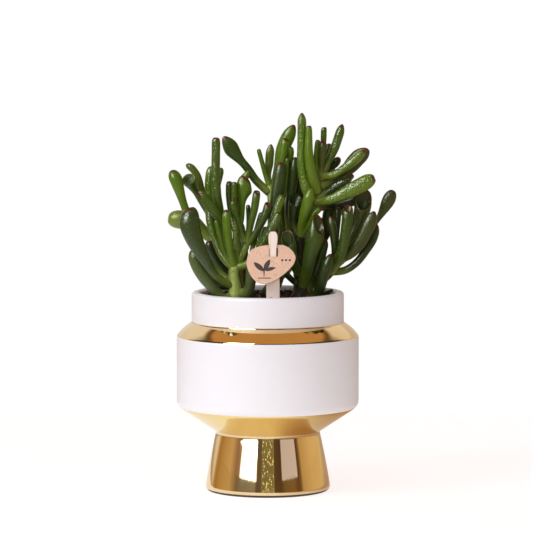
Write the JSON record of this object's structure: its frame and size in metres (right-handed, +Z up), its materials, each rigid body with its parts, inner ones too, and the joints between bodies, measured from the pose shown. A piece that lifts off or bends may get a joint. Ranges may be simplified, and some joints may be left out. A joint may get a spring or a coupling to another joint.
{
  "type": "potted hobbit jade",
  "caption": "Upright succulent with tubular, spoon-tipped leaves on thick stems, in a footed ceramic planter with soil and a card plant tag; stands on a shelf or table.",
  "frame": {"origin": "centre of the underside of the pot's foot, on the surface that it stands on", "axes": "+Z up along the pot's axis, +X to the right and -Y to the front, where the plant tag stands"},
  "size_m": [0.1606, 0.128, 0.2664],
  "materials": {
    "pot_glaze": "glossy white glaze with mirror-bright gold bands on foot, cone and shoulder",
    "potting_soil": "dark crumbly peat soil with brown fibre",
    "tag_wood": "bare pale birch",
    "tag_card": "matt kraft board with a small dark print",
    "stem_bark": "smooth olive green skin with pale leaf scars",
    "leaf_skin": "waxy green skin, glossy, with red-brown tip edges"
  },
  "bodies": {
    "root": {"pot": "pot_glaze", "soil": "potting_soil", "tag_stick": "tag_wood", "tag_card": "tag_card", "left_stem": "stem_bark", "rear_left_stem": "stem_bark", "centre_stem": "stem_bark", "rear_stem": "stem_bark", "main_stem": "stem_bark", "left_front_leaf": "leaf_skin", "left_low_leaf": "leaf_skin", "left_outer_leaf": "leaf_skin", "left_round_leaf": "leaf_skin", "left_long_leaf": "leaf_skin", "left_tall_leaf": "leaf_skin", "left_olive_leaf": "leaf_skin", "left_trumpet_leaf": "leaf_skin", "left_hooked_leaf": "leaf_skin", "left_centre_leaf": "leaf_skin", "inner_upright_leaf": "leaf_skin", "inner_leaning_leaf": "leaf_skin", "orange_tip_leaf": "leaf_skin", "above_tag_leaf": "leaf_skin", "behind_tag_leaf": "leaf_skin", "inner_narrow_leaf": "leaf_skin", "inner_spoon_leaf": "leaf_skin", "inner_brown_tip_leaf": "leaf_skin", "arching_spoon_leaf": "leaf_skin", "centre_rear_leaf": "leaf_skin", "centre_slim_leaf": "leaf_skin", "centre_broad_leaf": "leaf_skin", "beside_tag_leaf": "leaf_skin", "crown_upright_leaf": "leaf_skin", "crown_red_tip_leaf": "leaf_skin", "crown_cupped_leaf": "leaf_skin", "tallest_leaf": "leaf_skin", "tall_bright_leaf": "leaf_skin", "crown_front_leaf": "leaf_skin", "crown_thin_leaf": "leaf_skin", "crown_leaning_leaf": "leaf_skin", "crown_bright_leaf": "leaf_skin", "crown_spoon_leaf": "leaf_skin", "right_dark_leaf": "leaf_skin", "right_bright_leaf": "leaf_skin", "right_curved_leaf": "leaf_skin", "right_broad_leaf": "leaf_skin", "right_cup_leaf": "leaf_skin", "right_trumpet_leaf": "leaf_skin", "right_far_leaf": "leaf_skin", "front_trumpet_leaf": "leaf_skin", "front_dark_leaf": "leaf_skin", "front_low_leaf": "leaf_skin", "front_cupped_leaf": "leaf_skin", "rear_low_leaf": "leaf_skin", "rear_trunk_leaf": "leaf_skin", "rear_crown_leaf": "leaf_skin", "rear_right_leaf": "leaf_skin", "back_left_leaf": "leaf_skin", "back_right_leaf": "leaf_skin", "back_low_leaf": "leaf_skin"}
  },
  "joints": []
}
